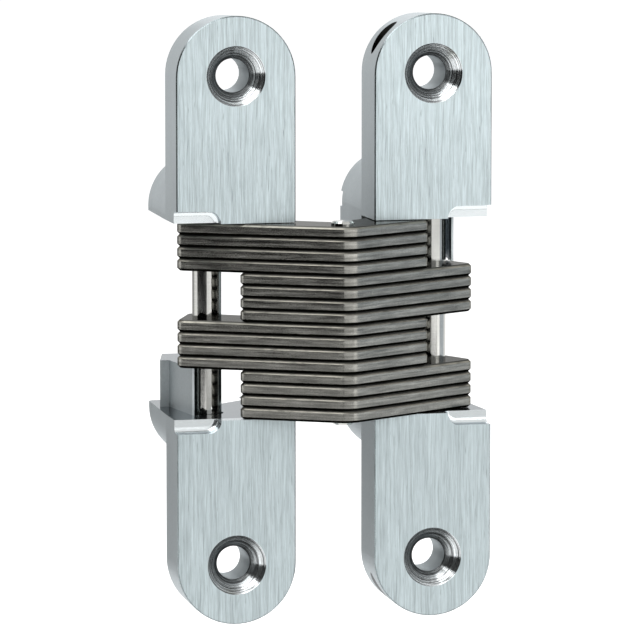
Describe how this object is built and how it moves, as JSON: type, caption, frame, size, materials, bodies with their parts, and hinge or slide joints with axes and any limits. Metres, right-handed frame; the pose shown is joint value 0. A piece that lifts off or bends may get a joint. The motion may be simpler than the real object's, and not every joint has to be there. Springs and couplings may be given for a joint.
{
  "type": "concealed mortise hinge",
  "caption": "Concealed hinge that sinks into two round-ended mortises: cast leaves with countersunk screw plates, joined by crossed stacks of blanked links that fold away inside them.",
  "frame": {"origin": "middle of the left leaf's two screw holes, on the flat back of its end plates", "axes": "+Z along the leaves, up as in the picture; +Y into the mortise, away from the viewer; +X from the left leaf to the right leaf"},
  "size_m": [0.0508, 0.0358, 0.0952],
  "materials": {
    "leaf_casting": "satin brushed die-cast zinc with a dull metallic plating",
    "link_steel": "oiled blanked steel, dark, with slightly brighter edges",
    "pin_steel": "ground bright steel"
  },
  "bodies": {
    "left_leaf": {"left_leaf": "leaf_casting", "left_fixed_pin": "pin_steel"},
    "pivot_links": {"second_stack_link_1": "link_steel", "second_stack_link_2": "link_steel", "second_stack_link_3": "link_steel", "second_stack_link_4": "link_steel", "fourth_stack_link_1": "link_steel", "fourth_stack_link_2": "link_steel", "fourth_stack_link_3": "link_steel", "fourth_stack_link_4": "link_steel", "right_slide_pin": "pin_steel", "centre_pin": "pin_steel"},
    "slide_links": {"first_stack_link_1": "link_steel", "first_stack_link_2": "link_steel", "first_stack_link_3": "link_steel", "first_stack_link_4": "link_steel", "third_stack_link_1": "link_steel", "third_stack_link_2": "link_steel", "third_stack_link_3": "link_steel", "third_stack_link_4": "link_steel", "left_slide_pin": "pin_steel"},
    "right_leaf": {"right_leaf": "leaf_casting", "right_fixed_pin": "pin_steel"}
  },
  "joints": [
    {"name": "left_pivot", "type": "hinge", "parent": "left_leaf", "child": "pivot_links", "pos_m": [0.00683, -0.0047, 0], "axis": [0, 0, -1], "range_deg": [0, 113.31]},
    {"name": "centre_pivot", "type": "hinge", "parent": "pivot_links", "child": "slide_links", "pos_m": [0.01588, -0.0137, 0], "axis": [0, 0, -1], "range_deg": [-46.62, 0]},
    {"name": "right_pivot", "type": "hinge", "parent": "slide_links", "child": "right_leaf", "pos_m": [0.02492, -0.0047, 0], "axis": [0, 0, -1], "range_deg": [0, 113.31]}
  ],
  "couplings": [
    {"joint": "centre_pivot", "follows": "left_pivot", "ratio": -0.41143},
    {"joint": "right_pivot", "follows": "left_pivot", "ratio": 1}
  ]
}
